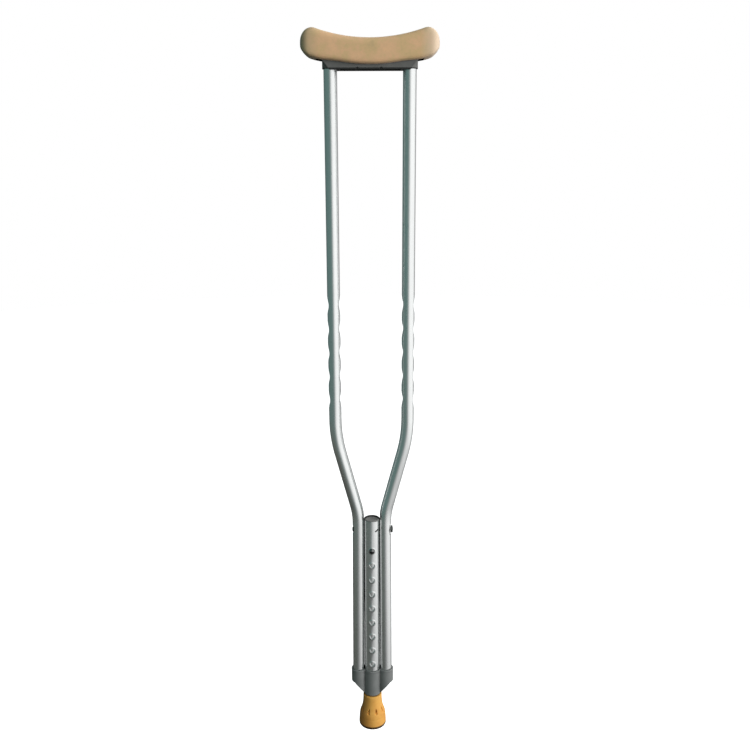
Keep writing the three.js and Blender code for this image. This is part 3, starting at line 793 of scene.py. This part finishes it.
def collar():
    """Three round lobes with a beaded rim, cut off underneath by a cone that opens from the barrel."""
    low, high = COLLAR_LOW.z, COLLAR_HIGH.z
    foot_radius, cone_radius, cone_top = 13.2, 31, 82
    bead, bead_height = 0.3, 3.4
    clear = COLLAR_HALF_SPACING + COLLAR_LOBE_RADIUS + 2
    levels = [(low, 0), (high - bead_height, 0), (high - bead_height + 0.4, bead), (high - 0.5, bead),
              (high, bead - 0.4)]
    piece = loft("collar_shell", [collar_outline(z, extra) for z, extra in levels])
    cone = turned("tool", [(0, low), (foot_radius, low), (COLLAR_BARREL_RADIUS, low + 0.9),
                           (cone_radius, cone_top), (clear, cone_top + 0.4), (clear, high + 1),
                           (0, high + 1)], 128)
    combine(piece, [cone], "INTERSECT")
    tools = [rod(UPRIGHT_RADIUS + GAP, UPRIGHT_LOW.z - GAP, high + 5,
                 centre=(side * COLLAR_HALF_SPACING, 0, 0), sides=96) for side in (-1, 1)]
    tools.append(rod(CENTRE_RADIUS + GAP, CENTRE_LOW.z - GAP, high + 6, sides=96))
    tools.append(rod(LEG_RADIUS + 0.4, low - 5, high, sides=96))
    cut(piece, tools)
    soften(piece, voxel=0.36, steps=3)
    return finish_piece(piece, "frame", "grey_plastic", COLLAR_PLASTIC, "collar", sharp=60)


# ---- the saddle and the pad ----

def saddle():
    """The channel under the pad, with a socket for each upright and sloping ends."""
    bottom, top = SADDLE_LOW.z, SADDLE_HIGH.z
    half_width, half_depth = SADDLE_HIGH.x, SADDLE_HIGH.y
    foot, slope_top, shoulder = 56, bottom + 13, 4
    channel_half_length, channel_half_depth, channel_roof = 42, 10.5, 1062
    notches, notch_half_width, notch_depth, notch_height = (-18, 15), 1.6, 5, 2.8
    half = [(foot, bottom), (foot + 2, bottom + 1.6), (half_width, slope_top),
            (half_width, top - shoulder), (half_width - shoulder, top)]
    outline = half + [(-x, z) for x, z in reversed(half)]
    piece = prism(outline, -half_depth, half_depth, "saddle_shell")
    join(piece, [rod(SOCKET_RADIUS, SOCKET_BOTTOM, top - 0.5,
                     centre=(side * UPRIGHT_HALF_SPACING, 0, 0), sides=72) for side in (-1, 1)])
    tools = [block((-channel_half_length, -channel_half_depth, bottom - 1),
                   (channel_half_length, channel_half_depth, channel_roof))]
    tools += [rod(UPRIGHT_RADIUS + GAP, SOCKET_BOTTOM - 5, UPRIGHT_HIGH.z + GAP,
                  centre=(side * UPRIGHT_HALF_SPACING, 0, 0), sides=72) for side in (-1, 1)]
    tools += [block((x - notch_half_width, -half_depth - 1, bottom - 1),
                    (x + notch_half_width, -half_depth + notch_depth, bottom + notch_height))
              for x in notches]
    cut(piece, tools)
    soften(piece, voxel=0.42, steps=2)
    return finish_piece(piece, "frame", "grey_plastic", SADDLE_PLASTIC, "saddle", sharp=60)


def bezier(a, b, c, d, count):
    """Points along a cubic curve, its first end left out."""
    points = []
    for i in range(1, count + 1):
        t = i / count
        weights = ((1 - t) ** 3, 3 * t * (1 - t) ** 2, 3 * t * t * (1 - t), t ** 3)
        points.append(tuple(sum(w * p[axis] for w, p in zip(weights, (a, b, c, d))) for axis in (0, 1)))
    return points


def arc_rise(radius, x):
    """How far an arc has risen above its lowest point, x out from it."""
    return radius - math.sqrt(radius * radius - x * x)


def pad_edges():
    """The right half of the pad's top and bottom lines, as (x, z) from the middle out to its end."""
    end = PAD_HIGH.x
    top_radius, bottom_radius = 235, 255
    middle_top, middle_bottom = 1087.7, PAD_LOW.z
    shoulder_x, foot_x = 76, 91
    sag = 4.2
    top = [(x, middle_top + arc_rise(top_radius, x)) for x in np.linspace(0, shoulder_x, 40)]
    bottom = [(x, middle_bottom + arc_rise(bottom_radius, x)) for x in np.linspace(0, foot_x, 40)]
    shoulder, foot = top[-1], bottom[-1]
    nose = (end, shoulder[1] - 21)
    top += bezier(shoulder, (shoulder_x + 8, shoulder[1] + 2.7), (end, shoulder[1] - 4.3), nose, 60)
    bottom += bezier(foot, (end - 1, foot[1] + 2), (end, nose[1] - 4), nose, 40)
    bottom = [(x, z - sag * between(x, 40, 84) * (1 - between(x, end - 12, end))) for x, z in bottom]
    return np.array(top), np.array(bottom)


def pad_section(half_depth, half_height, count):
    """Evenly spaced y and z round a section about its middle, rounded above and a little squarer below."""
    upper_power, lower_power = 5.0, 7.0
    angles = np.linspace(0, 2 * math.pi, 721)
    power = np.where(np.sin(angles) < 0, lower_power, upper_power)
    y = half_depth * np.sign(np.cos(angles)) * np.abs(np.cos(angles)) ** (2 / power)
    z = half_height * np.sign(np.sin(angles)) * np.abs(np.sin(angles)) ** (2 / power)
    along = np.concatenate([[0], np.cumsum(np.hypot(np.diff(y), np.diff(z)))])
    even = np.linspace(0, along[-1], count, endpoint=False)
    return np.interp(even, along, y), np.interp(even, along, z)


def pad():
    """Moulded foam rubber: a sagging bar with rounded edges, its ends turned in, hollow over the saddle."""
    top, bottom = pad_edges()
    end, half_depth = PAD_HIGH.x, PAD_HIGH.y
    turn_in, roundness = 15, 3.0
    body_steps, turn_steps, section_points = 44, 34, 136
    body = np.linspace(0, end - turn_in, body_steps, endpoint=False)
    turning = np.sin(np.linspace(0, math.pi / 2, turn_steps, endpoint=False))
    xs = list(body) + [end - turn_in + turn_in * s for s in turning] + [end - 0.002]
    xs = [-x for x in reversed(xs[1:])] + xs
    rings = []
    for x in xs:
        high = np.interp(abs(x), top[:, 0], top[:, 1])
        low = np.interp(abs(x), bottom[:, 0], bottom[:, 1])
        past = max(abs(x) - (end - turn_in), 0) / turn_in
        depth = half_depth * max(1 - past ** roundness, 0.0004) ** (1 / roundness)
        y, z = pad_section(depth, max((high - low) / 2, 0.02), section_points)
        rings.append([(x, b, (high + low) / 2 + c) for b, c in zip(y, z)])
    piece = loft("armpit_pad", rings)
    half_length, saddle_depth = RECESS_HALF_LENGTH, SADDLE_HIGH.y + GAP
    under, roof = 1040, SADDLE_HIGH.z + GAP
    cut(piece, [block((-half_length, -saddle_depth, under), (half_length, saddle_depth, roof))])
    finish_piece(piece, "frame", "tan_foam_rubber", FOAM, "underarm_pad", sharp=50)
    return piece


# ---- rivets ----

def rivet(node, x, z):
    """A domed blind rivet set from behind."""
    low, high = cad_box(node)
    radius, shank, tail_radius = high.x - x, 2.0, 2.8
    seat, tail = high.y - 2 + GAP, low.y + 2
    inner_end = [(0, low.y), (tail_radius, low.y), (tail_radius, tail), (shank, tail + 0.6), (shank, seat)]
    head = [(radius - 0.15, seat), (radius, seat + 0.2), (radius - 0.2, seat + 0.6), (2.6, seat + 1.15),
            (1.9, seat + 1.5), (1.3, seat + 1.66)]
    hollow = [(1.15, seat + 1.5), (1.0, seat + 0.9), (0.9, seat + 0.75), (0, seat + 0.7)]
    piece = turned(node + "_head", inner_end + head + hollow, 48, "y", (x, 0, z))
    return finish_piece(piece, "frame", "rivet_aluminium", RIVET_ALUMINIUM, node)


# ---- the snap button and the rubber tip ----

def snap_button():
    """The dome that shows in the hole, on its flange and stem."""
    tip, back = BUTTON_LOW.y, BUTTON_HIGH.y
    radius, dome, steps = 4.3, 3.2, 14
    flange, stem, foot = 5, 1.8, 3
    flange_front, flange_back, arm_back = -8.2, -7.4, -6.2
    profile = [(radius * math.sin(math.pi / 2 * i / steps),
                tip + dome * (1 - math.cos(math.pi / 2 * i / steps))) for i in range(steps + 1)]
    profile += [(radius, flange_front), (flange - 0.1, flange_front), (flange, flange_front + 0.1),
                (flange, flange_back), (stem, flange_back), (stem, arm_back), (foot, arm_back),
                (foot, back - 0.2), (foot - 0.2, back), (0, back)]
    piece = turned("snap_button_dome", profile, 64, "y", (0, 0, TOP_HOLE))
    return finish_piece(piece, "button", "spring_steel", BUTTON_STEEL, "snap_button")


def snap_spring():
    """A strip bent into a U that lies in the leg, its rear arm shorter, with a hole in its front arm for the
    button's stem.
    """
    outer, thickness, stem_hole = SPRING_HIGH.y, 0.6, 2.1
    middle = outer - thickness / 2
    bend_height, arm_top = SPRING_LOW.z + outer, SPRING_HIGH.z
    rear_top = arm_top - REAR_ARM_SHORTER
    steps, bend_steps = 24, 40
    path = [(-middle, arm_top - (arm_top - bend_height) * i / steps, 0) for i in range(steps)]
    path += [(-middle * math.cos(a), bend_height - middle * math.sin(a), a)
             for a in np.linspace(0, math.pi, bend_steps)]
    path += [(middle, bend_height + (rear_top - bend_height) * i / steps, math.pi)
             for i in range(1, steps + 1)]
    half_width, half_thickness, ease = SPRING_HIGH.x, thickness / 2, 0.12
    corners = [(half_width - ease, half_thickness), (half_width, half_thickness - ease),
               (half_width, ease - half_thickness), (half_width - ease, -half_thickness)]
    section = corners + [(-x, t) for x, t in reversed(corners)]
    rings = [[(x, y - t * math.cos(a), z - t * math.sin(a)) for x, t in section] for y, z, a in path]
    piece = loft("snap_spring_strip", rings)
    cut(piece, [rod(stem_hole, -2 * outer, 0, "y", (0, 0, TOP_HOLE), 40)])
    finish_piece(piece, None, "spring_steel", SPRING_STEEL, "snap_spring")
    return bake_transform(piece)


def tip_radius(z):
    """The tip's outer radius at a height: a foot, a groove, a shoulder and a neck."""
    foot = [(3.5, 22.4), (8, 22.3), (12, 22.05), (16.6, 21.7)]
    groove = [(17.6, 21.3), (18.4, 21.55)]
    shoulder = [(21, 21.3), (24, 20.75), (26.8, 19.9), (30, 18.7), (33, 17.75)]
    neck = [(36, 17.0), (40, 16.3), (45, 15.75), (50, 15.5), (55.8, 15.4)]
    heights, radii = zip(*foot, *groove, *shoulder, *neck)
    return float(np.interp(z, heights, radii))


def rubber_tip():
    """A flared ferrule with a groove above its foot, and short flutes round its shoulder."""
    flutes, flute_low, flute_high, flute_depth = 9, 26.0, 36.5, 4.2
    body_low, body_height, body_steps, sides = 3.5, 52.3, 104, 216
    heights = [body_low + body_height * i / body_steps for i in range(body_steps + 1)]
    foot = [(19.5, 0), (20.7, 0.25), (21.6, 0.9), (22.2, 2.0)]
    rim = [(15.2, 56.6), (14.8, 57.0), (11.9, 57.0), (11.5, 56.6)]
    bore = [(11.4, 56), (11.4, 13)]
    profile = foot + [(tip_radius(z), z) for z in heights] + rim + bore
    first_body = len(foot)
    rings = []
    for index, (radius, z) in enumerate(profile):
        ring = []
        for k in range(sides):
            angle = 2 * math.pi * k / sides
            reach = radius
            if first_body <= index < first_body + len(heights):
                reach -= flute_depth * flute_share(angle, z, flutes, flute_low, flute_high)
            ring.append((reach * math.sin(angle), -reach * math.cos(angle), z))
        rings.append(ring)
    piece = loft("rubber_tip_ferrule", rings)
    cut(piece, tread())
    return finish_piece(piece, "leg", "orange_rubber", RUBBER, "rubber_tip", sharp=50)


def flute_share(angle, z, flutes, low, high):
    """How deep a flute is at a place on the shoulder, from 0 to 1: a narrow slot that tapers upwards."""
    pitch, widest, taper = 2 * math.pi / flutes, 0.11, 0.45
    off = abs((angle + pitch) % pitch - pitch / 2)
    width = widest * (1 - taper * between(z, low, high))
    across = 1 - between(off, width * 0.35, width)
    return across * between(z, low, low + 2.2) * (1 - between(z, high - 5, high))


def tread():
    """The tools that cut two round grooves in the underside."""
    sides, depth = 96, 1.2
    tools = []
    for radius in (9.5, 15.0):
        section = [(radius - 1, -1), (radius + 1, -1), (radius + 0.8, depth), (radius - 0.8, depth)]
        tools.append(loft("tool", [[(r * math.cos(2 * math.pi * k / sides),
                                     r * math.sin(2 * math.pi * k / sides), z) for k in range(sides)]
                                   for r, z in section], closed=True))
    return tools


# ---- make everything ----

upright("right_upright", 1)
upright("left_upright", -1)
centre_tube()
leg_tube()
centre_plug()
yoke_bolt()
yoke_washer()
yoke_nut()
collar()
saddle()
pad()
for side, sign in (("left", -1), ("right", 1)):
    rivet(side + "_saddle_rivet", sign * UPRIGHT_HALF_SPACING, SADDLE_RIVET_HEIGHT)
    rivet(side + "_collar_rivet", sign * COLLAR_HALF_SPACING, COLLAR_RIVET_HEIGHT)
snap_button()
snap_spring()
rubber_tip()

# the two pieces inside the tubes keep their CAD shapes, with finished materials
for node, material in (("leg_top_plug", WHITE_PLASTIC), ("tip_washer", ZINC)):
    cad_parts[node].data.materials.clear()
    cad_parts[node].data.materials.append(material)


# ---- the studio ----

def around(degrees):
    """A direction's place on the ring round the crutch, from 0 to 1. 0 degrees is the front, 90 the right."""
    return (degrees + 180) / 360


def studio_world():
    """Dark cloth on the left and a broad bright screen on the right. The camera alone sees white behind."""
    world = bpy.data.worlds.new("studio")
    bpy.context.scene.world = world
    world.use_nodes = True
    tree = world.node_tree
    tree.nodes.clear()
    direction = add(tree, "TexCoord").outputs["Generated"]
    axes = add(tree, "SeparateXYZ", {"Vector": direction})
    front = product(tree, axes.outputs["Y"], -1.0)
    turn = add(tree, "Math", {0: axes.outputs["X"], 1: front}, operation="ARCTAN2").outputs[0]
    azimuth = add(tree, "MapRange", {"Value": turn, "From Min": -math.pi, "From Max": math.pi}).outputs[0]
    high = ramp(tree, azimuth, [
        (around(-180), 0.03), (around(-158), (0.06, 0.09, 0.085)), (around(-110), (0.115, 0.19, 0.18)),
        (around(-22), (0.13, 0.215, 0.205)), (around(-4), (0.30, 0.36, 0.35)), (around(12), 0.90),
        (around(24), 1.18), (around(102), 1.18), (around(118), 0.50), (around(135), 0.34),
        (around(180), 0.20)])
    low = ramp(tree, azimuth, [
        (around(-180), 0.02), (around(-150), (0.03, 0.032, 0.028)), (around(-128), (0.06, 0.063, 0.055)),
        (around(-112), (0.14, 0.145, 0.13)), (around(-30), (0.165, 0.168, 0.155)), (around(-8), 0.25),
        (around(15), 0.50), (around(50), 1.00), (around(96), 1.08), (around(112), 0.60),
        (around(130), 0.40), (around(180), 0.15)])
    upward = axes.outputs["Z"]
    level = add(tree, "MapRange", {"Value": upward, "From Min": -0.43, "From Max": -0.26}).outputs[0]
    walls = mixture(tree, level, low, high)
    slope = add(tree, "MapRange", {"Value": upward, "From Min": -1.0, "From Max": 1.0}).outputs[0]
    dark_below = ramp(tree, slope, [(0.0, 0.01), (0.16, 0.05), (0.24, 0.90), (0.275, 1.0), (1.0, 1.0)])
    lit = tinted(tree, walls, dark_below)
    seen = add(tree, "LightPath").outputs["Is Camera Ray"]
    colour = mixture(tree, seen, lit, (1.0, 1.0, 1.0, 1.0))
    background = add(tree, "Background", {"Color": colour})
    output = add(tree, "OutputWorld")
    tree.links.new(background.outputs[0], output.inputs["Surface"])


def soft_light(name, place, target, size, power, reflected=False):
    """A round lamp, hidden from the camera. Shiny surfaces mirror it only where reflected is set."""
    data = bpy.data.lights.new(name, "AREA")
    data.shape = "DISK"
    data.size = size
    data.energy = power
    light = bpy.data.objects.new(name, data)
    bpy.context.scene.collection.objects.link(light)
    light.location = place
    light.rotation_euler = (Vector(place) - Vector(target)).to_track_quat("Z", "Y").to_euler()
    light.visible_glossy = reflected
    light.visible_camera = False


def pale_floor():
    """A white floor below the leg's travel, that takes soft shadows but throws no light back up."""
    material, *_ = start_material("floor", Roughness=0.9, Base_Color=(0.8, 0.8, 0.8, 1),
                                  Emission_Color=(1, 1, 1, 1), Emission_Strength=0.75,
                                  Specular_IOR_Level=0)
    radius, top = 6000, -LEG_TRAVEL - 1
    floor = turned("floor", [(0, top - 1), (radius, top - 1), (radius, top), (0, top)], 64)
    floor.data.materials.append(material)
    floor.visible_diffuse = False
    floor.visible_glossy = False
    floor.visible_shadow = False


studio_world()
soft_light("key", (1.9, -1.1, 1.3), (0, 0, 0.6), size=0.9, power=26)
soft_light("rear_fill", (0.8, 1.8, 2.7), (0, 0, 0.6), size=1.2, power=22, reflected=True)
pale_floor()
bpy.context.scene.view_settings.view_transform = "Standard"
